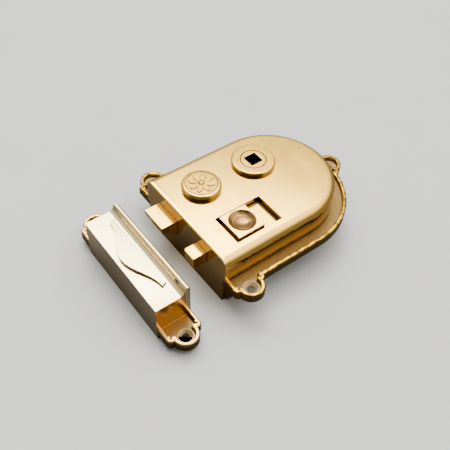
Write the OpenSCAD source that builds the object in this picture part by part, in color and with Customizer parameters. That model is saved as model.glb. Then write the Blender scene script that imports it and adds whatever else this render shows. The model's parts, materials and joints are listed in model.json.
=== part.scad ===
// Half-mortised rim latch with a D-shaped case, and its separate box keep.
// The spindle axis is the Z axis, and the door's face is the plane z = 0.
// X runs from the forend to the round end, Y along the forend.

/* [Case] */
// distance from the forend's face to the spindle
backset = 60; // [45:0.5:80]
// half of the case's width across its straight sides
case_r = 38.5; // [30:0.5:50]
// height of the case's top above the door's face
case_h = 20; // [16:0.5:30]
// radius of the rounded shoulder round the case's top
shoulder_r = 5; // [2:0.5:8]
// thickness of the case's side wall
wall_t = 2.8; // [1.5:0.1:4]
// thickness of the case's top
top_t = 2.6; // [1.5:0.1:4]
// centre of the round end along X
arc_x = 2.5; // [-10:0.5:20]
// centre line of the case along Y
mid_y = -14; // [-20:0.5:0]

/* [Flange] */
// half of the flange's width across its straight sides
flange_r = 47.3; // [40:0.1:60]
// thickness of the flange in its channel
floor_t = 3.2; // [2:0.1:5]
// height of the raised rim round the flange
rim_h = 5.8; // [4:0.1:8]
// width of the raised rim
rim_w = 2.5; // [1.5:0.1:4]
// radius of the round lobe of an ear
ear_r = 7.6; // [6:0.1:10]
// half of the width of an ear's neck
ear_half = 10; // [8:0.1:14]
// step from an ear's hole out to its neck's shoulders
ear_step = 0.8; // [0:0.1:3]
// distance of the side ears' holes from the centre line
ear_y = 48.9; // [46:0.1:56]
// position of the side ears' holes along X
ear_x = -50; // [-54:0.5:-40]
// position of the end ear's hole along X
end_ear_x = 50.2; // [48:0.1:60]
// offset of the end ear from the centre line
end_ear_y = -2.6; // [-6:0.1:6]
// radius of a screw hole
hole_r = 2.3; // [1.5:0.05:3]
// radius of a screw hole's countersink
sink_r = 4.1; // [3:0.1:5]

/* [Forend] */
// thickness of the forend plate
forend_t = 3; // [2:0.1:5]
// half of the forend's width
forend_r = 36.4; // [30:0.1:45]
// depth of the body let into the door
body_d = 15.2; // [8:0.1:20]

/* [Follower] */
// radius of the raised rosette
rosette_r = 13.4; // [10:0.1:18]
// height of the rosette above the case
rosette_h = 2.8; // [1:0.1:6]
// radius of the follower's face
face_r = 7.4; // [6:0.1:10]
// width of the square spindle hole
square_w = 8.4; // [6:0.1:9]
// radius of the follower's journals
journal_r = 7.4; // [6:0.1:9]
// radial play of the journals
play = 0.06; // [0.02:0.01:0.1]
// reach of the follower's two arms
arm_reach = 15.5; // [13:0.1:18]

/* [Latch bolt] */
// width of the latch bolt
latch_w = 18; // [12:0.5:25]
// centre of the latch bolt along Y
latch_y = 1.75; // [-5:0.25:5]
// height of the latch bolt's top face
latch_top = 12; // [8:0.5:15]
// thickness of the latch bolt
latch_t = 12; // [8:0.5:14]
// how far the latch bolt stands out of the forend
latch_out = 10.6; // [6:0.1:14]
// thickness left at the latch bolt's nose
nose_t = 2; // [1:0.1:4]

/* [Locking bolt] */
// width of the locking bolt
lock_w = 8.8; // [6:0.1:12]
// height of the locking bolt
lock_t = 8; // [5:0.1:10]
// height of the locking bolt's top face
lock_top = 12.5; // [10:0.1:14]
// centre of the locking bolt along Y
lock_y = -31; // [-36:0.5:-26]
// how far the locking bolt stands out of the forend
lock_out = 8.5; // [5:0.1:12]

/* [Snib] */
// front end of the snib's opening
slot_x0 = -46.2; // [-48:0.1:-40]
// rear end of the snib's opening
slot_x1 = -15; // [-20:0.1:-10]
// centre of the opening along Y
slot_y = -34.4; // [-38:0.05:-30]
// width of the opening
slot_w = 21; // [15:0.1:25]
// front end of the snib
snib_x0 = -43.3; // [-44:0.1:-38]
// rear end of the snib
snib_x1 = -25.5; // [-28:0.1:-20]
// gap on the snib's near side
snib_gap = 2.3; // [0.3:0.1:4]
// gap on the snib's far side
snib_far_gap = 0.3; // [0.2:0.1:2]
// radius of the finger dimple
dimple_r = 8; // [5:0.1:9]
// depth of the finger dimple
dimple_d = 2.8; // [1:0.1:3.2]
// depth of the slide plate below the case's top
plate_drop = 3.6; // [3:0.1:6]

/* [Boss] */
// position of the round boss along X
boss_x = -37.8; // [-45:0.1:-30]
// position of the round boss along Y
boss_y = 0.4; // [-8:0.1:4]
// radius of the round boss
boss_r = 11.8; // [8:0.1:14]
// height of the round boss
boss_h = 3.6; // [3:0.1:8]

/* [Keep] */
// gap between the keep and the forend's face
keep_gap = 21; // [2:0.5:40]
// width of the keep's box
keep_w = 21.4; // [16:0.1:30]
// length of the keep's box
keep_l = 73; // [60:0.5:90]
// height of the keep's top above the door frame's face
keep_h = 21.6; // [16:0.1:30]
// height of the ridge on the keep's lock side above its top
ridge_h = 4.5; // [0:0.1:6]
// thickness of the keep's front plate
front_t = 3; // [2:0.1:4]
// depth of the keep's box below the door frame's face
keep_d = 4; // [0:0.1:8]
// distance of the keep's screw holes from its box
keep_ear = 10.6; // [8:0.1:14]
// wall thickness of the keep
keep_t = 2.2; // [1.5:0.1:4]
// how far the keep lies below the height that it is screwed on at
keep_drop = 11.2; // [0:0.1:11.2]

/* [Hidden] */
eps = 0.01;
big = 200;
arc_fn = 96;
bore_fn = 48;
small_fn = 24;
face_x = -backset;
back_x = face_x + forend_t;
in_r = case_r - wall_t;
in_top = case_h - top_t;
tray_t = 2;
tray_r = case_r - 0.5;
tray_floor = -body_d + tray_t;
keep_x = face_x - keep_gap;
plate_top = case_h - plate_drop;
plate_t = 1.6;
plate_bot = plate_top - plate_t;
pillars = [[-48, 18.3], [6, 18.3], [28, -33], [4, -44]];
screw_r = 1.5;
rivet_bore_r = screw_r - 0.1;
latch_rivet_x = -52.5;
latch_rivet_y = [-4, 4];
snib_rivet_x = [-40.5, -28.5];
snib_rivet_y = slot_y + 7.4;
lock_rivet_x = -47.75;
spring_x = -24;
bracket_x = -54.9;
bolt_gap = 0.3;
anchor_x = 15.2;
anchor_r = 1.6;

// plan of a D: straight from x0 to the arc's centre, then half a circle of radius r
module d_plan(r, x0) {
  translate([x0, mid_y - r])
    square([arc_x - x0, 2 * r]);
  translate([arc_x, mid_y])
    circle(r, $fn = arc_fn);
}

// cross-section of one half of the case, with its rounded shoulder
module half_section(r, h, s) {
  square([r, h - s]);
  square([r - s, h]);
  translate([r - s, h - s])
    circle(s, $fn = bore_fn);
}

// solid D block with a rounded shoulder, from x0 to the round end
module d_block(r, h, s, x0) {
  translate([arc_x, mid_y, 0])
    rotate([0, 0, -90])
      rotate_extrude(angle = 180, $fn = arc_fn)
        intersection() {
          half_section(r, h, s);
          square([big, big]);
        }
  for (side = [0, 1])
    translate([x0, mid_y, 0])
      mirror([0, side, 0])
        rotate([90, 0, 90])
          linear_extrude(arc_x - x0)
            intersection() {
              half_section(r, h, s);
              square([big, big]);
            }
}

// outline of an ear, inset by i, with its hole at the origin and its neck towards +Y
module ear_plan(i, half, reach) {
  corner = rim_w;
  circle(ear_r - i, $fn = bore_fn);
  translate([i - half, i + corner - ear_step])
    square([2 * (half - i), reach]);
  if (i < corner)
    for (side = [-1, 1])
      translate([side * (half - corner), corner - ear_step])
        circle(corner - i, $fn = small_fn);
  translate([max(i, corner) - half, i - ear_step])
    square([2 * (half - max(i, corner)), reach]);
}

// cross-section of the raised rim, with its outer side on the Y axis
module rim_section() {
  side = 0.3;
  top = 0.9;
  polygon([
    [0, 0], [0, rim_h - 1],
    [side, rim_h - 0.35],
    [top, rim_h],
    [rim_w - top, rim_h],
    [rim_w - side, rim_h - 0.35],
    [rim_w, rim_h - 1], [rim_w, 0]
  ]);
}

// straight piece of the raised rim along +X, with its outer side on the X axis
module rim_bar(l) {
  rotate([90, 0, 90])
    linear_extrude(l)
      rim_section();
}

// piece of the raised rim round a circle of radius r, over an angle
module rim_arc(r, angle) {
  rotate_extrude(angle = angle, $fn = arc_fn)
    translate([r, 0])
      mirror([1, 0])
        rim_section();
}

// raised rim of an ear, as far as its neck
module ear_rim(half, reach) {
  rim_arc(ear_r, 360);
  for (side = [0, 1])
    mirror([side, 0, 0]) {
      translate([half - rim_w, rim_w - ear_step, 0])
        rim_arc(rim_w, 360);
      translate([ear_r - 2, -ear_step, 0])
        rim_bar(half - rim_w - ear_r + 2);
      translate([half, rim_w - ear_step, 0])
        rotate([0, 0, 90])
          rim_bar(reach);
    }
}

// puts its children at each of the case's three ears
module at_ears() {
  for (side = [-1, 1])
    translate([ear_x, mid_y + side * ear_y, 0])
      mirror([0, (side + 1) / 2, 0])
        children();
  translate([end_ear_x, mid_y + end_ear_y, 0])
    rotate([0, 0, 90])
      children();
}

// outline of the flange and its three ears, inset by i
module flange_plan(i) {
  d_plan(flange_r - i, face_x + i);
  at_ears()
    ear_plan(i, ear_half, 8);
}

// raised rim round the flange and its ears
module flange_rim() {
  difference() {
    union() {
      translate([arc_x, mid_y, 0])
        rotate([0, 0, -90])
          rim_arc(flange_r, 180);
      translate([face_x, mid_y - flange_r, 0])
        rim_bar(arc_x - face_x);
      translate([face_x, mid_y + flange_r - rim_w, 0])
        rim_bar(arc_x - face_x);
      translate([face_x + rim_w, mid_y - flange_r - 1, 0])
        rotate([0, 0, 90])
          rim_bar(2 * flange_r + 2);
      at_ears()
        ear_rim(ear_half, ear_y - flange_r + 2);
    }
    translate([0, 0, floor_t])
      linear_extrude(big)
        flange_plan(rim_w);
  }
}

// countersunk screw hole through a floor whose top is at z
module screw_hole(z) {
  translate([0, 0, -1])
    cylinder(r = hole_r, h = z + 2, $fn = bore_fn);
  translate([0, 0, z - sink_r + hole_r])
    cylinder(r1 = hole_r, r2 = sink_r, h = sink_r - hole_r, $fn = bore_fn);
  translate([0, 0, z - eps])
    cylinder(r = sink_r, h = 4, $fn = bore_fn);
}

// box from one corner to the opposite one
module box(a, b) {
  translate(a)
    cube([b[0] - a[0], b[1] - a[1], b[2] - a[2]]);
}

// disc of radius r and height h whose upper edge is rounded with radius e
module round_disc(r, h, e) {
  rotate_extrude($fn = arc_fn) {
    square([r, h - e]);
    square([r - e, h]);
    intersection() {
      translate([r - e, h - e])
        circle(e, $fn = bore_fn);
      square([big, big]);
    }
  }
}

// coil of closed turns along +Z, radius r, wire radius w, from 0 to length l
module coil(r, w, l, turns) {
  pitch = (l - 2 * w) / turns;
  for (i = [0:turns])
    translate([0, 0, w + i * pitch])
      rotate_extrude($fn = 40)
        translate([r, 0])
          circle(w, $fn = 14);
}

module case_cover() {
  color("#c9a24e")
    difference() {
      union() {
        d_block(case_r, case_h, shoulder_r, back_x);
        linear_extrude(floor_t)
          flange_plan(0);
        flange_rim();
      }
      // hollow of the case
      translate([0, 0, -1])
        d_block(in_r, in_top + 1, 0.6, back_x - 1);
      // the forend plate's seat, wider above the flange
      box([face_x - 1, mid_y - forend_r, -1], [back_x, mid_y + forend_r, case_h + 1]);
      box([face_x - 1, mid_y - case_r, floor_t], [back_x, mid_y + case_r, case_h + 1]);
      at_ears()
        screw_hole(floor_t);
      // opening for the snib
      box([slot_x0, slot_y - slot_w / 2, in_top - 1], [slot_x1, slot_y + slot_w / 2, case_h + 1]);
      // bore for the follower's upper journal
      translate([0, 0, in_top - 1])
        cylinder(r = journal_r + play, h = top_t + 2, $fn = bore_fn);
      // hole for the boss's stud
      translate([boss_x, boss_y, in_top - 1])
        cylinder(r = 3.3, h = top_t + 2, $fn = bore_fn);
    }
}

module forend_plate() {
  gap = 0.4;
  edge = 1.3;
  color("#d2ab55")
    difference() {
      union() {
        box([face_x, mid_y - forend_r, -body_d], [back_x, mid_y + forend_r, floor_t + 1]);
        // upper part in the case's own section, with an eased top edge
        intersection() {
          for (side = [0, 1])
            translate([face_x, mid_y, 0])
              mirror([0, side, 0])
                rotate([90, 0, 90])
                  linear_extrude(forend_t)
                    half_section(case_r, case_h, shoulder_r);
          translate([0, big, 0])
            rotate([90, 0, 0])
              linear_extrude(2 * big)
                polygon([
                  [face_x, floor_t],
                  [face_x, case_h - edge],
                  [face_x + 0.12 * edge, case_h - 0.5 * edge],
                  [face_x + 0.5 * edge, case_h - 0.12 * edge],
                  [face_x + edge, case_h],
                  [back_x, case_h],
                  [back_x, floor_t]
                ]);
        }
      }
      // opening for the latch bolt
      box([face_x - 1, latch_y - latch_w / 2 - gap, latch_top - latch_t - gap],
        [back_x + 1, latch_y + latch_w / 2 + gap, latch_top + gap]);
      // opening for the locking bolt
      box([face_x - 1, lock_y - lock_w / 2 - gap, lock_top - lock_t - gap],
        [back_x + 1, lock_y + lock_w / 2 + gap, lock_top + gap]);
    }
}

module back_tray() {
  color("#a8873f")
    difference() {
      translate([0, 0, -body_d])
        linear_extrude(body_d)
          d_plan(tray_r, back_x);
      translate([0, 0, tray_floor])
        linear_extrude(body_d)
          d_plan(tray_r - tray_t, back_x + tray_t);
      // hole for the rear bush
      translate([0, 0, -body_d - 1])
        cylinder(r = 10, h = tray_t + 2, $fn = bore_fn);
      for (p = pillars)
        translate([p[0], p[1], -body_d - eps]) {
          cylinder(r = screw_r + 0.3, h = tray_t + 1, $fn = small_fn);
          cylinder(r1 = 3.2, r2 = 1.8, h = 1.4, $fn = small_fn);
        }
    }
}

module case_pillars() {
  color("#8d8f92")
    for (p = pillars)
      translate([p[0], p[1], tray_floor])
        difference() {
          cylinder(r = 2.5, h = in_top - tray_floor, $fn = small_fn);
          translate([0, 0, -eps])
            cylinder(r = rivet_bore_r, h = 9, $fn = small_fn);
        }
}

module tray_screws() {
  color("#9a9ca0")
    for (p = pillars)
      translate([p[0], p[1], -body_d + 0.1])
        difference() {
          union() {
            cylinder(r1 = 2.9, r2 = screw_r, h = 1.4, $fn = small_fn);
            cylinder(r = screw_r, h = 10, $fn = small_fn);
          }
          box([-3, -0.35, -1], [3, 0.35, 0.6]);
        }
}

module rosette() {
  gap = 0.6;
  round_r = 1.3;
  color("#d6b25c")
    translate([0, 0, case_h])
      difference() {
        round_disc(rosette_r, rosette_h, round_r);
        translate([0, 0, -1])
          cylinder(r = face_r + gap, h = rosette_h + 2, $fn = bore_fn);
      }
}

module follower() {
  arm_t = 3;
  hub_r = 11;
  hub_z = 2.2;
  color("#c4a057")
    difference() {
      union() {
        translate([0, 0, -body_d + 0.3])
          cylinder(r = journal_r, h = body_d + case_h + 0.2, $fn = bore_fn);
        translate([0, 0, hub_z])
          cylinder(r = hub_r, h = in_top - hub_z - 0.3, $fn = bore_fn);
        translate([0, 0, case_h + 0.3])
          cylinder(r = face_r, h = rosette_h - 0.4, $fn = bore_fn);
        box([-arm_t, -arm_reach, 6], [arm_t, arm_reach, 11.5]);
      }
      box([-square_w / 2, -square_w / 2, -body_d - 1], [square_w / 2, square_w / 2, case_h + 9]);
    }
}

module rear_bush() {
  color("#b8965a")
    difference() {
      union() {
        translate([0, 0, -body_d + 0.2])
          cylinder(r = 9.7, h = tray_t, $fn = bore_fn);
        translate([0, 0, tray_floor])
          cylinder(r = 12, h = 2, $fn = bore_fn);
      }
      translate([0, 0, -body_d - 1])
        cylinder(r = journal_r + play, h = 9, $fn = bore_fn);
    }
}

module follower_spring() {
  wire = 0.7;
  turn_r = 9.4;
  low = tray_floor + 2.4;
  color("#7d8084") {
    translate([0, 0, low])
      coil(turn_r, wire, 7.2, 3);
    // straight leg out to the anchor
    translate([-turn_r, 0, low + wire])
      rotate([0, -90, 0])
        cylinder(r = wire - 0.15, h = anchor_x - anchor_r - turn_r - 0.05, $fn = small_fn);
  }
}

module spring_anchor() {
  color("#8d8f92")
    translate([-anchor_x, 0, tray_floor])
      cylinder(r = anchor_r, h = 8, $fn = small_fn);
}

module latch_bolt() {
  nose_x = face_x - latch_out;
  rear_x = -48;
  z0 = latch_top - latch_t;
  color("#dcb863")
    difference() {
      translate([0, latch_y + latch_w / 2, 0])
        rotate([90, 0, 0])
          linear_extrude(latch_w)
            polygon([
              [rear_x, z0],
              [face_x - 0.4, z0],
              [nose_x, latch_top - nose_t],
              [nose_x, latch_top - 0.4],
              [nose_x + 0.4, latch_top],
              [rear_x, latch_top]
            ]);
      for (y = latch_rivet_y)
        translate([latch_rivet_x, latch_y + y, z0 - eps])
          cylinder(r = rivet_bore_r, h = 7, $fn = small_fn);
    }
}

module latch_tail() {
  z1 = latch_top - latch_t;
  z0 = z1 - 3;
  rail_y = 15.5;
  slot_y2 = 7.7;
  lug_x = 3.15;
  color("#a9abae")
    difference() {
      union() {
        box([-54.7, latch_y - 7, z0], [-47, latch_y + 7, z1]);
        box([-48, -rail_y, z0], [11, rail_y, z1]);
        for (side = [-1, 1])
          box([lug_x, side * 13.5 - 2, z0], [lug_x + 3, side * 13.5 + 2, 11.5]);
      }
      box([-36.5, -slot_y2, z0 - 1], [8.2, slot_y2, z1 + 1]);
      for (y = latch_rivet_y)
        translate([latch_rivet_x, latch_y + y, z0 - eps])
          cylinder(r = rivet_bore_r, h = 7, $fn = small_fn);
    }
}

module latch_rivets() {
  z1 = latch_top - latch_t;
  color("#c9a24e")
    for (y = latch_rivet_y)
      translate([latch_rivet_x, latch_y + y, z1 - 4])
        union() {
          cylinder(r = screw_r, h = 10, $fn = small_fn);
          cylinder(r1 = 2, r2 = 2.6, h = 1, $fn = small_fn);
        }
}

module latch_spring() {
  color("#7d8084")
    translate([-47.9, latch_y, latch_top - 6])
      rotate([0, 90, 0])
        coil(3.6, 0.6, spring_x + 47.8, 9);
}

module spring_stop() {
  color("#8d8f92")
    box([spring_x, latch_y - 4.5, tray_floor], [spring_x + 3, latch_y + 4.5, latch_top]);
}

// inverted U that guides a bolt, from the tray's floor to over its top
module bracket(x0, x1, y0, y1, z1) {
  leg = 2;
  difference() {
    box([x0, y0 - leg, tray_floor], [x1, y1 + leg, z1 + leg]);
    box([x0 - 1, y0, tray_floor - 1], [x1 + 1, y1, z1]);
  }
}

module latch_bracket() {
  color("#8d8f92")
    bracket(bracket_x, bracket_x + 4, latch_y - latch_w / 2 - bolt_gap, latch_y + latch_w / 2 + bolt_gap,
      latch_top + bolt_gap);
}

module locking_bolt() {
  nose_x = face_x - lock_out;
  rear_x = -45;
  lug_l = 5.5;
  z0 = lock_top - lock_t;
  color("#dcb863")
    difference() {
      union() {
        box([nose_x + 0.4, lock_y - lock_w / 2, z0], [rear_x, lock_y + lock_w / 2, lock_top]);
        box([nose_x, lock_y - lock_w / 2 + 0.4, z0 + 0.4],
          [rear_x, lock_y + lock_w / 2 - 0.4, lock_top - 0.4]);
        box([rear_x - lug_l, lock_y - lock_w / 2, z0], [rear_x, lock_y + lock_w / 2, plate_bot]);
      }
      translate([lock_rivet_x, lock_y, plate_bot - 5])
        cylinder(r = rivet_bore_r, h = 9, $fn = small_fn);
    }
}

module slide_plate() {
  color("#cfa856")
    difference() {
      box([-53.5, slot_y - slot_w / 2 - 1.2, plate_bot], [-12, slot_y + slot_w / 2 + 1.2, plate_top]);
      translate([lock_rivet_x, lock_y, plate_bot - 1])
        cylinder(r = rivet_bore_r, h = 9, $fn = small_fn);
      for (x = snib_rivet_x)
        translate([x, snib_rivet_y, plate_bot - 1])
          cylinder(r = rivet_bore_r, h = 9, $fn = small_fn);
    }
}

module snib() {
  ball_r = (dimple_r * dimple_r + dimple_d * dimple_d) / (2 * dimple_d);
  low = slot_y - slot_w / 2 + snib_gap;
  high = slot_y + slot_w / 2 - snib_far_gap;
  edge = 0.3;
  color("#d6b25c")
    difference() {
      union() {
        box([snib_x0, low, plate_top], [snib_x1, high, case_h - edge]);
        box([snib_x0 + edge, low + edge, plate_top], [snib_x1 - edge, high - edge, case_h]);
      }
      translate([(snib_x0 + snib_x1) / 2 + 0.4, (low + high) / 2 + 0.3, case_h - dimple_d + ball_r])
        sphere(ball_r, $fn = 96);
      for (x = snib_rivet_x)
        translate([x, snib_rivet_y, plate_top - eps])
          cylinder(r = rivet_bore_r, h = 2, $fn = small_fn);
    }
}

module snib_rivets() {
  color("#a9abae") {
    for (x = snib_rivet_x)
      translate([x, snib_rivet_y, plate_bot])
        cylinder(r = screw_r, h = plate_t + 1.8, $fn = small_fn);
    translate([lock_rivet_x, lock_y, plate_bot - 4])
      cylinder(r = screw_r, h = plate_t + 4, $fn = small_fn);
  }
}

module bolt_bracket() {
  color("#8d8f92")
    difference() {
      bracket(bracket_x, bracket_x + 4, lock_y - lock_w / 2 - bolt_gap, lock_y + lock_w / 2 + bolt_gap,
        lock_top + 0.2);
      box([-60, -60, plate_bot - 0.3], [-40, 0, case_h]);
    }
}

module detent_spring() {
  color("#7d8084") {
    box([-32, -42, plate_bot - 1.4], [-6, -37, plate_bot - 0.9]);
    translate([-30, -42, plate_bot - 1.3])
      rotate([-90, 0, 0])
        cylinder(r = 1, h = 5, $fn = small_fn);
  }
}

module detent_post() {
  color("#8d8f92")
    difference() {
      box([-10, -42, tray_floor], [-5, -37, plate_bot - 1.4]);
      translate([-7.5, -39.5, plate_bot - 8])
        cylinder(r = 0.9, h = 9, $fn = small_fn);
    }
}

module detent_screw() {
  color("#9a9ca0")
    translate([-7.5, -39.5, plate_bot - 0.9]) {
      translate([0, 0, -6])
        cylinder(r = 1, h = 6, $fn = small_fn);
      cylinder(r = 1.8, h = 0.5, $fn = small_fn);
    }
}

module boss_button() {
  round_r = 1.9;
  groove_r = 9.4;
  petals = 8;
  color("#d6b25c")
    translate([boss_x, boss_y, case_h]) {
      difference() {
        round_disc(boss_r, boss_h, round_r);
        translate([0, 0, boss_h - 0.35])
          difference() {
            cylinder(r = groove_r + 0.3, h = 1, $fn = arc_fn);
            translate([0, 0, -1])
              cylinder(r = groove_r - 0.3, h = 3, $fn = arc_fn);
          }
      }
      // generic flower in low relief
      for (i = [0:petals - 1])
        rotate([0, 0, i * 360 / petals])
          translate([4.6, 0, boss_h - eps])
            scale([1.7, 0.8, 1])
              cylinder(r = 1.7, h = 0.4, $fn = small_fn);
      translate([0, 0, boss_h - eps])
        cylinder(r = 1.3, h = 0.55, $fn = small_fn);
    }
}

module boss_stud() {
  color("#c9a24e")
    translate([boss_x, boss_y, in_top - 3.2])
      cylinder(r = 3, h = top_t + 3.2, $fn = small_fn);
}

module boss_nut() {
  color("#a9abae")
    translate([boss_x, boss_y, in_top - 2.6])
      difference() {
        cylinder(r = 5.6, h = 2.6, $fn = 6);
        translate([0, 0, -1])
          cylinder(r = 2.9, h = 5, $fn = small_fn);
      }
}

// lowers its children from the keep's working height to where the keep lies
module keep_place() {
  translate([0, 0, -keep_drop])
    children();
}

// puts its children at the keep's two ears
module at_keep_ears() {
  for (side = [-1, 1])
    translate([keep_x - keep_w / 2, mid_y + side * (keep_l / 2 + keep_ear), 0])
      mirror([0, (side + 1) / 2, 0])
        children();
}

module keep_body() {
  rear = keep_x - keep_w;
  front = keep_x - front_t;
  low = mid_y - keep_l / 2;
  high = mid_y + keep_l / 2;
  cove_r = 4;
  cove_h = 3;
  cove_x = front - sqrt(cove_r * cove_r - (cove_r - cove_h) * (cove_r - cove_h));
  half = keep_w / 2;
  color("#d9c08a")
    keep_place()
      difference() {
        union() {
          box([rear, low, -keep_d], [front, high, keep_h]);
          // cove up to the front plate
          difference() {
            box([cove_x, low, keep_h - 1], [front, high, keep_h + cove_h]);
            translate([cove_x, low - 1, keep_h + cove_r])
              rotate([-90, 0, 0])
                cylinder(r = cove_r, h = keep_l + 2, $fn = bore_fn);
          }
          at_keep_ears() {
            linear_extrude(floor_t)
              intersection() {
                ear_plan(0, half, big);
                translate([-half, -big])
                  square([2 * half, big + keep_ear + 0.5]);
              }
            difference() {
              ear_rim(half, keep_ear + ear_step - rim_w);
              translate([0, 0, floor_t])
                linear_extrude(big)
                  ear_plan(rim_w, half, big);
            }
          }
        }
        box([rear + keep_t, low + keep_t, -keep_d - 1], [front + 1, high - keep_t, keep_h - keep_t]);
        // seat of the front plate
        box([front, low, -keep_d - 1], [keep_x + 1, high, keep_h + 1]);
        at_keep_ears()
          screw_hole(floor_t);
      }
}

module keep_front() {
  play_y = 1;
  round_r = front_t / 2;
  front = keep_x - front_t;
  color("#decb9c")
    keep_place()
      difference() {
        union() {
          box([front, mid_y - keep_l / 2, -keep_d], [keep_x, mid_y + keep_l / 2, keep_h + ridge_h - round_r]);
          translate([keep_x - round_r, mid_y - keep_l / 2, keep_h + ridge_h - round_r])
            rotate([-90, 0, 0])
              cylinder(r = round_r, h = keep_l, $fn = bore_fn);
        }
        box([front - 1, latch_y - latch_w / 2 - play_y, latch_top - latch_t - 1],
          [keep_x + 1, latch_y + latch_w / 2 + play_y, latch_top + 1]);
        box([front - 1, lock_y - lock_w / 2 - play_y, lock_top - lock_t - 1],
          [keep_x + 1, lock_y + lock_w / 2 + play_y, lock_top + 1]);
      }
}

module keep_leaf() {
  rise = 1.9;
  bow = 8.7;
  tip = 27;
  steps = 60;
  straight_x = keep_x - 6.9;
  edge_t = 1.4;
  base_x = keep_x - 10.4;
  tilt = 3;
  color("#e3cf9c")
    keep_place()
      translate([0, mid_y + 1, keep_h])
        intersection() {
          linear_extrude(2 * rise)
            polygon(concat(
              [[straight_x, -tip + 1.5]],
              [for (i = [0:steps])
                let (t = 2 * i / steps - 1)
                  [base_x - bow * (1 + cos(180 * t)) / 2, tip * t]],
              [[straight_x, tip + 1.5]]
            ));
          translate([straight_x, 0, edge_t])
            rotate([0, tilt, 0])
              translate([-big, -big / 2, -big])
                cube([big + 1, big, big]);
        }
}

module keep_back() {
  color("#c9ad73")
    keep_place()
      box([keep_x - keep_w + keep_t, mid_y - keep_l / 2 + keep_t, -keep_d],
        [keep_x - front_t, mid_y + keep_l / 2 - keep_t, -keep_d + 1.5]);
}

module keep_rivets() {
  color("#c9ad73")
    keep_place()
      for (side = [-1, 1])
        translate([keep_x - front_t - 5, mid_y + side * (keep_l / 2 - 5.2), -keep_d + 1.5])
          cylinder(r = 2, h = 1.2, $fn = small_fn);
}

module keep_screws() {
  color("#9a9ca0")
    keep_place()
      for (side = [-1, 1])
        translate([keep_x - front_t - 3.5, mid_y + side * (keep_l / 2 - 1.1), 9])
          rotate([0, 90, 0])
            cylinder(r = 0.8, h = 5, $fn = small_fn);
}

case_cover();
forend_plate();
back_tray();
case_pillars();
tray_screws();
rosette();
follower();
rear_bush();
follower_spring();
spring_anchor();
latch_bolt();
latch_tail();
latch_rivets();
latch_spring();
spring_stop();
latch_bracket();
locking_bolt();
slide_plate();
snib();
snib_rivets();
bolt_bracket();
detent_spring();
detent_post();
detent_screw();
boss_button();
boss_stud();
boss_nut();
keep_body();
keep_front();
keep_leaf();
keep_back();
keep_rivets();
keep_screws();
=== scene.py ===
"""Looks of the half-mortised rim latch and its box keep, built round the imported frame."""

import json
import math

import bmesh
import bpy
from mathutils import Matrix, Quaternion, Vector


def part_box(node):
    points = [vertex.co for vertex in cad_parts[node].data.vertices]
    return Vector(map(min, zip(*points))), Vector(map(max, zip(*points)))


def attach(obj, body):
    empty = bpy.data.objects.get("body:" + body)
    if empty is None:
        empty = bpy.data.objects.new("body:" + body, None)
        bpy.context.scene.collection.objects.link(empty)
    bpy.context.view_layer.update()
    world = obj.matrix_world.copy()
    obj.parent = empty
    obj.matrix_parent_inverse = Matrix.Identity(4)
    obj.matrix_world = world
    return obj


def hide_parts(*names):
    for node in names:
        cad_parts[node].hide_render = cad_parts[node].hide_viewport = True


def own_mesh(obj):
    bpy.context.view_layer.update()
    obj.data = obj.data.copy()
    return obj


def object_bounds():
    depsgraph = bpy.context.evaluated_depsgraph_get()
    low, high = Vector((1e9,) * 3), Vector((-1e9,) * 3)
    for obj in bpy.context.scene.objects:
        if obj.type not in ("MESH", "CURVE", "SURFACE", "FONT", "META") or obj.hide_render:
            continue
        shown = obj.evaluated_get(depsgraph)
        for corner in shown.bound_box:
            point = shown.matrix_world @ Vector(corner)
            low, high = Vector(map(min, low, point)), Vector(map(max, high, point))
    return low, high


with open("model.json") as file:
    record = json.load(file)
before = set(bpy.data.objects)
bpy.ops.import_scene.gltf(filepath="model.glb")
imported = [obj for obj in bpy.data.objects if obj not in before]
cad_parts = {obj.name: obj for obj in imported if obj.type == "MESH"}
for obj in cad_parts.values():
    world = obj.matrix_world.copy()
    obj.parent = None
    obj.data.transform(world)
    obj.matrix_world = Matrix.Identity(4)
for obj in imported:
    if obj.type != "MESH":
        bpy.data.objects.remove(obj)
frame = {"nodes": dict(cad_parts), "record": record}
cad_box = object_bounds()

MM = 0.001
mounts = {m["name"]: Vector(m["pos_m"]) / MM for m in frame["record"]["mounts"]}
node_body = {n: b for b, nodes in frame["record"]["behaviour"]["bodies"].items() for n in nodes}
node_slot = {s["node"]: s["material_slot"] for s in frame["record"]["subparts"]}


def middle(node):
    """Centre of a CAD node's box, in millimetres."""
    low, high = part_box(node)
    return (low + high) / 2 / MM


# ---------------------------------------------------------------- camera and lamp

AIM = Vector((-0.0329, -0.0168, 0.0))
AZIMUTH = -39.0
ELEVATION = 48.35
ROLL = 2.74
DISTANCE = 0.3686
FLOOR_Z = cad_box[0][2]


def direction(azimuth, elevation):
    """Unit vector from the lock towards a viewer at these angles, in degrees."""
    a, e = math.radians(azimuth), math.radians(elevation)
    return Vector((math.sin(a) * math.cos(e), -math.cos(a) * math.cos(e), math.sin(e)))


def link(obj):
    """Puts a new object into the scene."""
    bpy.context.scene.collection.objects.link(obj)
    return obj


def make_camera():
    camera = link(bpy.data.objects.new("camera", bpy.data.cameras.new("camera")))
    back = direction(AZIMUTH, ELEVATION)
    turn = (-back).to_track_quat("-Z", "Y") @ Quaternion((0, 0, 1), math.radians(ROLL))
    camera.data.lens = 50
    camera.data.sensor_width = 36
    camera.data.clip_start = 0.01
    camera.location = AIM + back * DISTANCE
    camera.rotation_euler = turn.to_euler()
    bpy.context.scene.camera = camera


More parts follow.
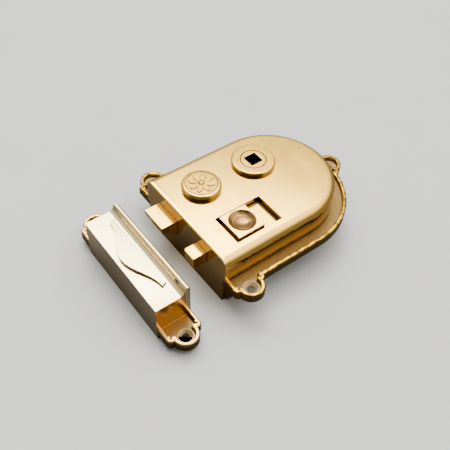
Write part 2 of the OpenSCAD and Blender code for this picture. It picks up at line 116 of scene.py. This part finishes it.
def softbox(name, azimuth, elevation, distance, size, radiance):
    """A rectangular area light that looks at the lock. The metal doesn't mirror it."""
    data = bpy.data.lights.new(name, "AREA")
    data.shape = "RECTANGLE"
    data.size, data.size_y = size
    data.energy = radiance * math.pi * size[0] * size[1]
    light = link(bpy.data.objects.new(name, data))
    towards = direction(azimuth, elevation)
    light.location = AIM + towards * distance
    light.rotation_euler = (-towards).to_track_quat("-Z", "Y").to_euler()
    light.visible_glossy = False


# ---------------------------------------------------------------- material helpers


class Nodes:
    """Short calls that add nodes to a node tree."""

    def __init__(self, tree):
        self.tree = tree

    def feed(self, socket, value):
        if isinstance(value, bpy.types.NodeSocket):
            self.tree.links.new(value, socket)
        elif isinstance(value, tuple) and len(value) == 3 and len(socket.default_value) == 4:
            socket.default_value = (*value, 1)
        else:
            socket.default_value = value

    def node(self, kind, output, inputs, **settings):
        """Adds a node, sets and links its inputs, and returns one of its outputs."""
        node = self.tree.nodes.new(kind)
        for key, value in settings.items():
            setattr(node, key, value)
        for key, value in inputs.items():
            self.feed(node.inputs[key], value)
        return node.outputs[output]

    def split(self, vector):
        """The three parts of a vector."""
        node = self.tree.nodes.new("ShaderNodeSeparateXYZ")
        self.feed(node.inputs[0], vector)
        return node.outputs

    def calc(self, operation, a, b=0.0):
        return self.node("ShaderNodeMath", 0, {0: a, 1: b}, operation=operation)

    def plus(self, a, b):
        return self.calc("ADD", a, b)

    def minus(self, a, b):
        return self.calc("SUBTRACT", a, b)

    def times(self, a, b):
        return self.calc("MULTIPLY", a, b)

    def largest(self, a, b):
        return self.calc("MAXIMUM", a, b)

    def diagonal(self, a, b):
        """Distance from two offsets at a right angle."""
        return self.calc("SQRT", self.plus(self.times(a, a), self.times(b, b)))

    def ramp(self, value, low, high, to_low=0.0, to_high=1.0):
        """Maps low..high smoothly to to_low..to_high."""
        inputs = {"Value": value, "From Min": low, "From Max": high, "To Min": to_low, "To Max": to_high}
        return self.node("ShaderNodeMapRange", 0, inputs, interpolation_type="SMOOTHSTEP")

    def mix(self, share, a, b):
        return self.node("ShaderNodeMix", 2, {0: share, 6: a, 7: b}, data_type="RGBA")


class Paint(Nodes):
    """A principled material. Places are in millimetres."""

    def __init__(self, name, metallic=1.0):
        self.material = bpy.data.materials.new(name)
        self.material.use_nodes = True
        super().__init__(self.material.node_tree)
        self.shader = self.tree.nodes["Principled BSDF"]
        self.shader.inputs["Metallic"].default_value = metallic
        inputs = {0: self.node("ShaderNodeTexCoord", "Object", {}), "Scale": 1 / MM}
        self.place = self.node("ShaderNodeVectorMath", 0, inputs, operation="SCALE")
        self.x, self.y, self.z = self.split(self.place)
        self.face = self.split(self.node("ShaderNodeTexCoord", "Normal", {}))

    def stretch(self, x, y, z):
        return self.node("ShaderNodeVectorMath", 0, {0: self.place, 1: (x, y, z)}, operation="MULTIPLY")

    def noise(self, size, place=None, detail=3.0, rough=0.55):
        """Noise whose features are about size millimetres across."""
        inputs = {"Vector": place or self.place, "Scale": 1 / size, "Detail": detail, "Roughness": rough}
        return self.node("ShaderNodeTexNoise", "Fac", inputs)

    def radius(self, centre):
        """Distance from an upright axis through centre."""
        return self.diagonal(self.minus(self.x, centre[0]), self.minus(self.y, centre[1]))

    def lines(self, coordinate, size, detail=2.0):
        """Noise that changes only along one coordinate, as turned or brushed marks do."""
        place = self.node("ShaderNodeCombineXYZ", 0, {0: coordinate})
        return self.noise(size, place, detail)

    def bump(self, height, depth, normal=None):
        """Adds relief of that depth in millimetres."""
        inputs = {"Height": height, "Distance": depth * MM, "Strength": 1.0}
        if normal is not None:
            inputs["Normal"] = normal
        return self.node("ShaderNodeBump", 0, inputs)

    def finish(self, colour, rough, normal=None):
        self.feed(self.shader.inputs["Base Color"], colour)
        self.feed(self.shader.inputs["Roughness"], rough)
        if normal is not None:
            self.feed(self.shader.inputs["Normal"], normal)
        return self.material


def facing_up(paint):
    """1 on faces that look up, 0 on upright walls."""
    return paint.ramp(paint.face[2], 0.03, 0.28)


def facing_end(paint):
    """1 on upright faces that look along Y."""
    return paint.ramp(paint.calc("ABSOLUTE", paint.face[1]), 0.4, 0.8)


def within(paint, axis, low, high):
    """1 between a box's two ends along an axis."""
    place = (paint.x, paint.y, paint.z)[axis]
    centre, half = (low[axis] + high[axis]) / 2 / MM, (high[axis] - low[axis]) / 2 / MM
    return paint.ramp(paint.calc("ABSOLUTE", paint.minus(place, centre)), half, half + 0.1, 1.0, 0.0)


def sinks(paint, holes):
    """1 in the countersinks of these screw holes."""
    masks = [paint.ramp(paint.radius(mounts[hole]), SINK_R, SINK_R + 0.5, 1.0, 0.0) for hole in holes]
    total = masks[0]
    for mask in masks[1:]:
        total = paint.largest(total, mask)
    return total


def ring_mask(paint, radius, at, half_width, soft=0.08):
    """1 on a thin ring."""
    away = paint.calc("ABSOLUTE", paint.minus(radius, at))
    return paint.ramp(away, half_width, half_width + soft, 1.0, 0.0)


# ---------------------------------------------------------------- studio

WARM_LIGHT = (1.0, 0.93, 0.75)
BACKDROP = (0.92, 0.92, 0.92)
DIMMEST = 0.10


def make_lights():
    """A studio as the metal mirrors it: bright behind and to the right, dark on the camera's side."""
    world = bpy.data.worlds.new("studio")
    bpy.context.scene.world = world
    world.use_nodes = True
    sky = Nodes(world.node_tree)
    x, y, height = sky.split(sky.node("ShaderNodeTexCoord", "Generated", {}))
    # degrees round the lock from the main view's azimuth, so that the seam is on the dark side
    turn = sky.times(sky.calc("ARCTAN2", x, sky.times(y, -1.0)), 180 / math.pi)
    turn = sky.calc("FLOORED_MODULO", sky.minus(turn, AZIMUTH), 360.0)

    def window(start, full, fade, end):
        """1 between the angles full and fade, 0 before start and after end, in degrees."""
        return sky.times(sky.ramp(turn, start, full), sky.ramp(turn, fade, end, 1.0, 0.0))

    def rise(low, high, dim, bright):
        """Goes from dim to bright between two elevations, in degrees."""
        return sky.ramp(height, math.sin(math.radians(low)), math.sin(math.radians(high)), dim, bright)

    # a dim wall behind the lock, and above it the panel that the case's top mirrors
    low_back = sky.times(window(135, 163, 225, 245), rise(-6, 40, 0.45, 1.25))
    key = sky.times(window(143, 179, 219, 238), rise(43, 49.5, 0.0, 11.5))
    key = sky.times(key, rise(64, 76, 1.0, 0.3))
    # walls on both sides, and the ceiling
    right = sky.times(window(45, 65, 139, 163), rise(8, 66, 0.25, 3.6))
    left = sky.times(window(225, 239, 287, 301), rise(4, 30, 0.3, 0.9))
    overhead = rise(66, 78, 0.0, 2.2)
    level = DIMMEST
    for panel in (low_back, key, right, left, overhead):
        level = sky.plus(panel, level)
    # seen directly, the studio is as pale as the floor
    direct = sky.node("ShaderNodeLightPath", "Is Camera Ray", {})
    inputs = world.node_tree.nodes["Background"].inputs
    sky.feed(inputs["Color"], sky.mix(direct, WARM_LIGHT, BACKDROP))
    sky.feed(inputs["Strength"], sky.plus(sky.times(level, sky.minus(1.0, direct)), direct))
    softbox("shadow_softbox", 146, 62, 0.8, (0.5, 0.4), 1.2)


# ---------------------------------------------------------------- materials

PALE_GOLD = (0.95, 0.64, 0.14)
WARM_GOLD = (0.92, 0.56, 0.10)
YELLOW_GOLD = (0.60, 0.34, 0.025)
DEEP_GOLD = (0.13, 0.08, 0.012)
ORANGE_CAST = (0.17, 0.105, 0.028)
MAUVE_CAST = (0.14, 0.10, 0.058)
# painted shade: the case's walls, darker than its top and darker still higher up
WALL_LOW = (0.85, 0.50, 0.14)
WALL_HIGH = (0.44, 0.34, 0.16)
# painted shade: the forend's upright face, darker than the pale top
FOREND_GOLD = (0.76, 0.50, 0.17)
FOREND_DEEP = (0.62, 0.42, 0.15)
BOSS_DEEP = (0.48, 0.29, 0.05)
BOSS_GOLD = (0.68, 0.44, 0.08)
# painted shade and reflection for the snib's finger dimple
DIMPLE_DEEP = (0.18, 0.10, 0.04)
DIMPLE_BROWN = (0.30, 0.175, 0.068)
DIMPLE_RING = (0.46, 0.28, 0.11)
CHAMPAGNE = (0.97, 0.83, 0.52)
KEEP_DEEP = (0.90, 0.78, 0.46)
KEEP_SHADE = (0.52, 0.40, 0.20)
KEEP_RIM = (0.60, 0.42, 0.14)
TRIM_DEEP = (0.92, 0.76, 0.44)
TAUPE = (0.92, 0.78, 0.54)
END_GOLD = (0.88, 0.48, 0.14)
SINK_GREY = (0.62, 0.48, 0.31)
# painted shade, laid on upright sides and in recesses
SHADED_SIDE = (0.18, 0.10, 0.045)
DARK_RECESS = (0.10, 0.06, 0.03)
TRAY_BRASS = (0.62, 0.46, 0.20)
TRAY_DEEP = (0.42, 0.30, 0.14)
STEEL_GREY = (0.50, 0.50, 0.52)
STEEL_DEEP = (0.36, 0.36, 0.38)
SPRING_GREY = (0.34, 0.35, 0.38)
SPRING_DEEP = (0.22, 0.23, 0.26)
PAPER = (0.60, 0.64, 0.75)
PAPER_DEEP = (0.56, 0.60, 0.71)
# painted reflection: the floor as the metal mirrors it, dark as shade
PAPER_MIRRORED = (0.085, 0.085, 0.095)

# heights above the flange's back, in millimetres
CHANNEL_Z = 3.2
RIM_Z = 5.8
CASE_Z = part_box("case_cover")[1][2] / MM

# radius of a countersink, in millimetres
SINK_R = 4.0

# roughness of bare casting, of its worn rim, and of a countersink
CAST_ROUGH = 0.36
WORN_ROUGH = 0.17
SINK_ROUGH = 0.6


def polish(paint, stretch, fine=0.35, rough=0.16, spread=0.08):
    """Roughness and relief of a polished face with faint wiping marks."""
    marks = paint.noise(fine, paint.stretch(*stretch), 4.0, 0.6)
    cloud = paint.noise(14.0, None, 2.0)
    level = paint.plus(paint.times(marks, spread), paint.times(cloud, spread))
    return paint.plus(level, rough - spread), paint.bump(marks, 0.0012)


def case_finish():
    """Polished case whose walls are painted darker than its top as shade, and a cast flange with a worn
    bright rim.
    """
    paint = Paint("case_brass")
    mid_y = middle("forend_plate")[1]
    # distance from the D's middle line, up to its arc's centre, so that tool marks run along the channel
    arc_x = 2.5
    past = paint.largest(paint.minus(paint.x, arc_x), 0.0)
    side = paint.minus(paint.y, mid_y)
    marks = paint.lines(paint.diagonal(past, side), 0.45, 3.0)

    up = facing_up(paint)
    cloud = paint.noise(22.0, None, 2.0)
    top = paint.mix(paint.ramp(cloud, 0.35, 0.7), PALE_GOLD, WARM_GOLD)
    # painted shade: the upright walls take darker colours than the top, darker still higher up
    wall = paint.mix(paint.ramp(paint.z, RIM_Z + 1.7, RIM_Z + 5.2), WALL_LOW, WALL_HIGH)
    case = paint.mix(up, wall, top)
    # painted shade: the walls of the snib's opening are dark
    low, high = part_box("slide_plate")
    in_slot = paint.times(within(paint, 0, low, high), within(paint, 1, low, high))
    in_slot = paint.times(in_slot, paint.ramp(paint.z, CASE_Z - 0.4, CASE_Z - 0.15, 1.0, 0.0))
    case = paint.mix(in_slot, case, SHADED_SIDE)

    blotch = paint.noise(5.0, None, 4.0, 0.65)
    streaks = paint.plus(paint.times(marks, 0.5), paint.times(blotch, 0.5))
    channel = paint.mix(paint.ramp(streaks, 0.36, 0.64), ORANGE_CAST, MAUVE_CAST)
    sink = sinks(paint, ("ear_hole_low", "ear_hole_high", "ear_hole_end"))
    channel = paint.mix(sink, channel, SINK_GREY)
    rim = paint.ramp(paint.z, RIM_Z - 1.6, RIM_Z - 0.6)
    worn = paint.mix(paint.ramp(paint.noise(3.2, None, 4.0), 0.38, 0.6), DEEP_GOLD, YELLOW_GOLD)
    flange = paint.mix(rim, channel, worn)

    above = paint.ramp(paint.z, RIM_Z + 0.05, RIM_Z + 0.5)
    colour = paint.mix(above, flange, case)
    smooth, wiped = polish(paint, (1.0, 0.12, 1.0))
    smooth = paint.ramp(up, 0.0, 1.0, 0.08, smooth)
    cast_rough = paint.ramp(rim, 0.0, 1.0, CAST_ROUGH, WORN_ROUGH)
    cast_rough = paint.largest(cast_rough, paint.times(sink, SINK_ROUGH))
    rough = paint.ramp(above, 0.0, 1.0, cast_rough, smooth)
    relief = paint.plus(marks, blotch)
    relief = paint.times(relief, paint.ramp(paint.z, CHANNEL_Z + 0.2, CHANNEL_Z + 1.2, 1.0, 0.08))
    normal = paint.bump(paint.times(relief, paint.minus(1.0, above)), 0.12, wiped)
    return paint.finish(colour, rough, normal)


def forend_finish():
    """Mirror with fine upright polishing marks, its upright face painted darker than its bright top edge
    as shade.
    """
    paint = Paint("forend_brass")
    up = facing_up(paint)
    cloud = paint.noise(12.0, None, 2.0)
    face = paint.mix(paint.ramp(cloud, 0.3, 0.75), FOREND_GOLD, FOREND_DEEP)
    smooth, wiped = polish(paint, (1.0, 1.0, 0.08), 0.25, 0.09, 0.05)
    # painted shade: upright faces take the darker forend colours, tops the pale gold
    return paint.finish(paint.mix(up, face, PALE_GOLD), smooth, wiped)


def turned_finish(name, axis, colour, deep, rough=0.14):
    """Face turned on a lathe round an upright axis."""
    paint = Paint(name)
    rings = paint.lines(paint.radius(axis), 0.22)
    cloud = paint.noise(6.0, None, 2.0)
    shade = paint.mix(paint.ramp(cloud, 0.3, 0.75), colour, deep)
    # painted shade on the upright sides
    shade = paint.mix(facing_up(paint), SHADED_SIDE, shade)
    level = paint.plus(paint.times(rings, 0.12), rough - 0.04)
    return paint.finish(shade, level, paint.bump(rings, 0.004))


def boss_finish():
    """Turned boss whose groove and flower outline are dark."""
    paint = Paint("boss_brass")
    axis = middle("boss_button")
    radius = paint.radius(axis)
    groove_at, eye_at = 9.4, 1.4
    # eight petals, ovals by their centre's distance from the axis and their half length and width
    petal_at, petal_long, petal_wide = 4.6, 2.9, 1.36
    step = 2 * math.pi / 8
    angle = paint.calc("ARCTAN2", paint.minus(paint.y, axis[1]), paint.minus(paint.x, axis[0]))
    turn = paint.minus(paint.calc("FLOORED_MODULO", paint.plus(angle, step / 2), step), step / 2)
    out = paint.minus(paint.times(radius, paint.calc("COSINE", turn)), petal_at)
    across = paint.times(radius, paint.calc("SINE", turn))
    oval = paint.diagonal(paint.calc("DIVIDE", out, petal_long), paint.calc("DIVIDE", across, petal_wide))
    outline = paint.largest(ring_mask(paint, oval, 1.1, 0.07), ring_mask(paint, radius, groove_at, 0.3))
    outline = paint.largest(outline, ring_mask(paint, radius, eye_at, 0.1))
    up = facing_up(paint)
    cloud = paint.noise(5.0, None, 2.0)
    face = paint.mix(paint.ramp(cloud, 0.3, 0.7), BOSS_DEEP, BOSS_GOLD)
    face = paint.mix(paint.ramp(radius, groove_at + 0.2, groove_at + 0.8), face, PALE_GOLD)
    # painted shade on the boss's upright side
    shade = paint.mix(up, SHADED_SIDE, face)
    dark = paint.times(outline, up)
    rings = paint.lines(radius, 0.25)
    rough = paint.plus(paint.times(rings, 0.12), 0.14)
    return paint.finish(paint.mix(dark, shade, DARK_RECESS), rough, paint.bump(rings, 0.004))


def snib_finish():
    """Pale snib with turning rings in its finger dimple, whose browns and pale rings are painted shade
    and reflection.
    """
    paint = Paint("snib_brass")
    # the dimple is a little off the snib's middle
    dimple_r = 8.0
    radius = paint.radius(middle("snib") + Vector((0.4, 0.3, 0)))
    inside = paint.ramp(radius, dimple_r - 0.2, dimple_r, 1.0, 0.0)
    inside = paint.times(inside, paint.ramp(paint.z, CASE_Z - 0.2, CASE_Z - 0.1, 1.0, 0.0))
    rings = paint.lines(radius, 0.55, 1.0)
    # painted shade and reflection: the hollow is painted brown, with pale rings where it mirrors light
    brown = paint.mix(rings, DIMPLE_DEEP, DIMPLE_BROWN)
    for at in (1.4, 2.9, 5.2):
        brown = paint.mix(ring_mask(paint, radius, at, 0.12, 0.15), brown, DIMPLE_RING)
    # painted shade on the snib's upright sides
    colour = paint.mix(facing_up(paint), SHADED_SIDE, PALE_GOLD)
    colour = paint.mix(inside, colour, brown)
    smooth, wiped = polish(paint, (1.0, 0.1, 1.0), 0.3, 0.18)
    turned = paint.bump(paint.times(rings, inside), 0.05, wiped)
    return paint.finish(colour, smooth, turned)


def bolt_finish(name, stretch, shade_below=None):
    """Cream-gold bolt with lengthwise filing marks, dark with painted shade below these x and y, if
    given.
    """
    paint = Paint(name)
    cloud = paint.noise(6.0, None, 2.0)
    up = facing_up(paint)
    colour = paint.mix(paint.ramp(cloud, 0.3, 0.7), PALE_GOLD, WARM_GOLD)
    colour = paint.mix(up, WARM_GOLD, colour)
    if shade_below:
        # painted shade on the plate beyond the snib's low x and y
        near = paint.ramp(paint.x, shade_below[0] - 0.3, shade_below[0] + 0.3, 1.0, 0.0)
        side = paint.ramp(paint.y, shade_below[1] - 0.3, shade_below[1] + 0.3, 1.0, 0.0)
        colour = paint.mix(paint.largest(near, side), colour, SHADED_SIDE)
    smooth, wiped = polish(paint, stretch, 0.22, 0.16)
    return paint.finish(colour, smooth, wiped)


def keep_finish():
    """Champagne box with lengthwise satin marks and orange cast ears."""
    paint = Paint("keep_brass")
    low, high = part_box("keep_front")
    mid_y = (low[1] + high[1]) / 2 / MM
    half = (high[1] - low[1]) / 2 / MM
    up = facing_up(paint)
    cloud = paint.noise(16.0, None, 2.0)
    top = paint.mix(paint.ramp(cloud, 0.35, 0.7), CHAMPAGNE, KEEP_DEEP)
    # painted shade, darker towards the near end
    top = paint.mix(paint.ramp(paint.y, mid_y - half, mid_y - half + 16, 0.55, 0.0), top, KEEP_SHADE)
    box = paint.mix(up, paint.mix(facing_end(paint), TAUPE, END_GOLD), top)
    blotch = paint.noise(3.5, None, 4.0, 0.65)
    ear = paint.mix(paint.ramp(blotch, 0.35, 0.65), ORANGE_CAST, MAUVE_CAST)
    sink = sinks(paint, ("keep_hole_low", "keep_hole_high"))
    ear = paint.mix(sink, ear, SINK_GREY)
    # the ears' rims stand this far above the keep's lowest edge
    rim_z = low[2] / MM + 8.2
    rim = paint.ramp(paint.z, rim_z, rim_z + 1.0)
    ear = paint.mix(rim, ear, KEEP_RIM)
    side = paint.calc("ABSOLUTE", paint.minus(paint.y, mid_y))
    beyond = paint.ramp(side, half + 0.05, half + 0.15)
    colour = paint.mix(beyond, box, ear)
    smooth, wiped = polish(paint, (1.0, 0.06, 1.0), 0.3, 0.2)
    cast_rough = paint.ramp(rim, 0.0, 1.0, CAST_ROUGH, 0.2)
    cast_rough = paint.largest(cast_rough, paint.times(sink, SINK_ROUGH))
    rough = paint.ramp(beyond, 0.0, 1.0, smooth, cast_rough)
    depth = paint.times(blotch, paint.times(beyond, paint.minus(1.0, rim)))
    return paint.finish(colour, rough, paint.bump(depth, 0.1, wiped))


def keep_trim_finish(name, side):
    """Front plate or leaf of the keep: bright satin, with the given side colour on upright faces; the
    leaf's is painted shade.
    """
    paint = Paint(name)
    up = facing_up(paint)
    cloud = paint.noise(9.0, None, 3.0)
    bright = paint.mix(paint.ramp(cloud, 0.35, 0.7), CHAMPAGNE, TRIM_DEEP)
    smooth, wiped = polish(paint, (1.0, 0.06, 1.0), 0.3, 0.2)
    return paint.finish(paint.mix(up, side, bright), smooth, wiped)


def dull_finish(name, colour, deep, rough, grain=1.2, depth=0.03):
    """Unpolished metal of the hidden parts, with mottling and a fine casting or filing grain."""
    paint = Paint(name)
    blotch = paint.noise(4.0, None, 4.0, 0.6)
    fine = paint.noise(grain, None, 5.0, 0.65)
    level = paint.plus(paint.times(fine, 0.2), rough - 0.1)
    shade = paint.mix(paint.ramp(blotch, 0.3, 0.7), colour, deep)
    return paint.finish(shade, level, paint.bump(fine, depth))


# ---------------------------------------------------------------- pieces


# edges that turn by more than this are eased, in degrees
SHARP = 32.0


def eased(name, width):
    """A copy of a CAD node that stands for it, with sharp edges rounded by width millimetres."""
    mesh = frame["nodes"][name].data.copy()
    mesh.name = name + "_eased"
    body = bmesh.new()
    body.from_mesh(mesh)
    bmesh.ops.remove_doubles(body, verts=body.verts, dist=2e-6)
    bmesh.ops.dissolve_degenerate(body, edges=body.edges, dist=2e-6)
    bmesh.ops.dissolve_limit(body, angle_limit=math.radians(0.3), verts=body.verts, edges=body.edges)
    body.to_mesh(mesh)
    body.free()
    for stale in ("custom_normal", "sharp_edge", "sharp_face"):
        if stale in mesh.attributes:
            mesh.attributes.remove(mesh.attributes[stale])
    mesh.shade_smooth()
    piece = link(bpy.data.objects.new(name + "_eased", mesh))
    bevel = piece.modifiers.new("ease", "BEVEL")
    bevel.width = width * MM
    bevel.segments = 2
    bevel.limit_method = "ANGLE"
    bevel.angle_limit = math.radians(SHARP)
    bevel.miter_outer = "MITER_ARC"
    weigh = piece.modifiers.new("weigh", "WEIGHTED_NORMAL")
    weigh.weight = 80
    weigh.keep_sharp = False
    solved = piece.evaluated_get(bpy.context.evaluated_depsgraph_get())
    finished = bpy.data.meshes.new_from_object(solved)
    piece.modifiers.clear()
    piece.data = finished
    bpy.data.meshes.remove(mesh)
    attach(piece, node_body[name])
    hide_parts(name)
    return piece


def paint_piece(piece, material):
    """Gives a piece one material all over."""
    piece.data.materials.clear()
    piece.data.materials.append(material)


def wound(name, axis, wire, turns):
    """A helical spring in place of a CAD spring: axis is its long direction, wire the wire's radius."""
    low, high = (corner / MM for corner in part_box(name))
    spot = (low + high) / 2
    length = (high - low)[axis]
    radius = (high - low)[(axis + 1) % 3] / 2 - wire
    closed, steps, sides = 1.0, 28, 10
    total = turns + 2 * closed
    count = int(total * steps) + 1
    end_pitch = 2 * wire
    inner = length - 2 * wire - 2 * closed * end_pitch
    corners, faces = [], []
    for i in range(count):
        turn = total * i / (count - 1)
        share = min(max((turn - closed) / turns, 0.0), 1.0)
        run = min(turn, closed) * end_pitch + share * inner + max(turn - closed - turns, 0.0) * end_pitch
        angle = 2 * math.pi * turn
        for k in range(sides):
            swell = 2 * math.pi * k / sides
            out = radius + wire * math.cos(swell)
            point = Vector((0, 0, 0))
            point[axis] = run + wire - length / 2 + wire * math.sin(swell)
            point[(axis + 1) % 3] = out * math.cos(angle)
            point[(axis + 2) % 3] = out * math.sin(angle)
            corners.append((point + spot) * MM)
            if i < count - 1:
                here, beside = i * sides + k, i * sides + (k + 1) % sides
                faces.append((here, beside, beside + sides, here + sides))
    faces.append(tuple(reversed(range(sides))))
    faces.append(tuple(range((count - 1) * sides, count * sides)))
    mesh = bpy.data.meshes.new(name + "_wound")
    mesh.from_pydata(corners, [], faces)
    mesh.validate()
    mesh.shade_smooth()
    piece = link(bpy.data.objects.new(name + "_wound", mesh))
    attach(piece, node_body[name])
    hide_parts(name)
    return piece


def make_latch_spring():
    """The spring behind the latch bolt, which shortens as the bolt goes in."""
    piece = wound("latch_spring", 0, 0.6, 8)
    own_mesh(piece)
    return piece


def make_floor():
    """A pale paper floor under the lock, painted dark where the metal mirrors it."""
    bpy.ops.mesh.primitive_plane_add(size=6, location=(0, 0, FLOOR_Z))
    floor = bpy.context.object
    floor.name = "floor"
    paint = Paint("floor_paper", 0.0)
    tone = paint.mix(paint.noise(60.0, None, 2.0), PAPER_DEEP, PAPER)
    # painted reflection: the metal mirrors a dark table as shade, and a pale one is seen directly
    mirrored = paint.node("ShaderNodeLightPath", "Is Glossy Ray", {})
    paint_piece(floor, paint.finish(paint.mix(mirrored, tone, PAPER_MIRRORED), 0.9))


keep_trim = keep_trim_finish("keep_trim_brass", TAUPE)
dull_brass = dull_finish("tray_brass", TRAY_BRASS, TRAY_DEEP, 0.42)
steel = dull_finish("mill_steel", STEEL_GREY, STEEL_DEEP, 0.34)
spring_steel = dull_finish("spring_steel", SPRING_GREY, SPRING_DEEP, 0.28, 0.8, 0.01)
# the nodes in sight get materials of their own
finishes = {
    "case_cover": case_finish(),
    "forend_plate": forend_finish(),
    "rosette": turned_finish("rosette_brass", mounts["spindle"], WARM_GOLD, PALE_GOLD),
    "follower": turned_finish("follower_brass", mounts["spindle"], PALE_GOLD, WARM_GOLD, 0.16),
    "boss_button": boss_finish(),
    "snib": snib_finish(),
    # the slide plate gets painted shade beside the snib
    "slide_plate": bolt_finish("slide_brass", (0.1, 1.0, 1.0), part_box("snib")[0] / MM),
    "latch_bolt": bolt_finish("latch_brass", (0.1, 1.0, 1.0)),
    "locking_bolt": bolt_finish("locking_brass", (0.1, 1.0, 1.0)),
    "keep_body": keep_finish(),
    "keep_front": keep_trim,
    # painted shadow along the leaf's upright edges
    "keep_leaf": keep_trim_finish("keep_leaf_brass", SHADED_SIDE),
}
# the hidden nodes get theirs by the record's material slot
slot_finishes = {
    "tray_brass": dull_brass,
    "pale_brass": keep_trim,
    "turned_brass": dull_brass,
    "steel": steel,
    "spring_steel": spring_steel,
}
# millimetres by which the edges of the nodes in sight are rounded
eases = {
    "case_cover": 0.25,
    "forend_plate": 0.2,
    "rosette": 0.25,
    "follower": 0.15,
    "snib": 0.15,
    "latch_bolt": 0.25,
    "locking_bolt": 0.2,
    "keep_body": 0.3,
    "keep_front": 0.3,
    "keep_leaf": 0.3,
}

for name, node in frame["nodes"].items():
    piece = node
    if name in eases:
        piece = eased(name, eases[name])
    if name == "latch_spring":
        piece = make_latch_spring()
    paint_piece(piece, finishes.get(name) or slot_finishes[node_slot[name]])

make_camera()
make_lights()
make_floor()
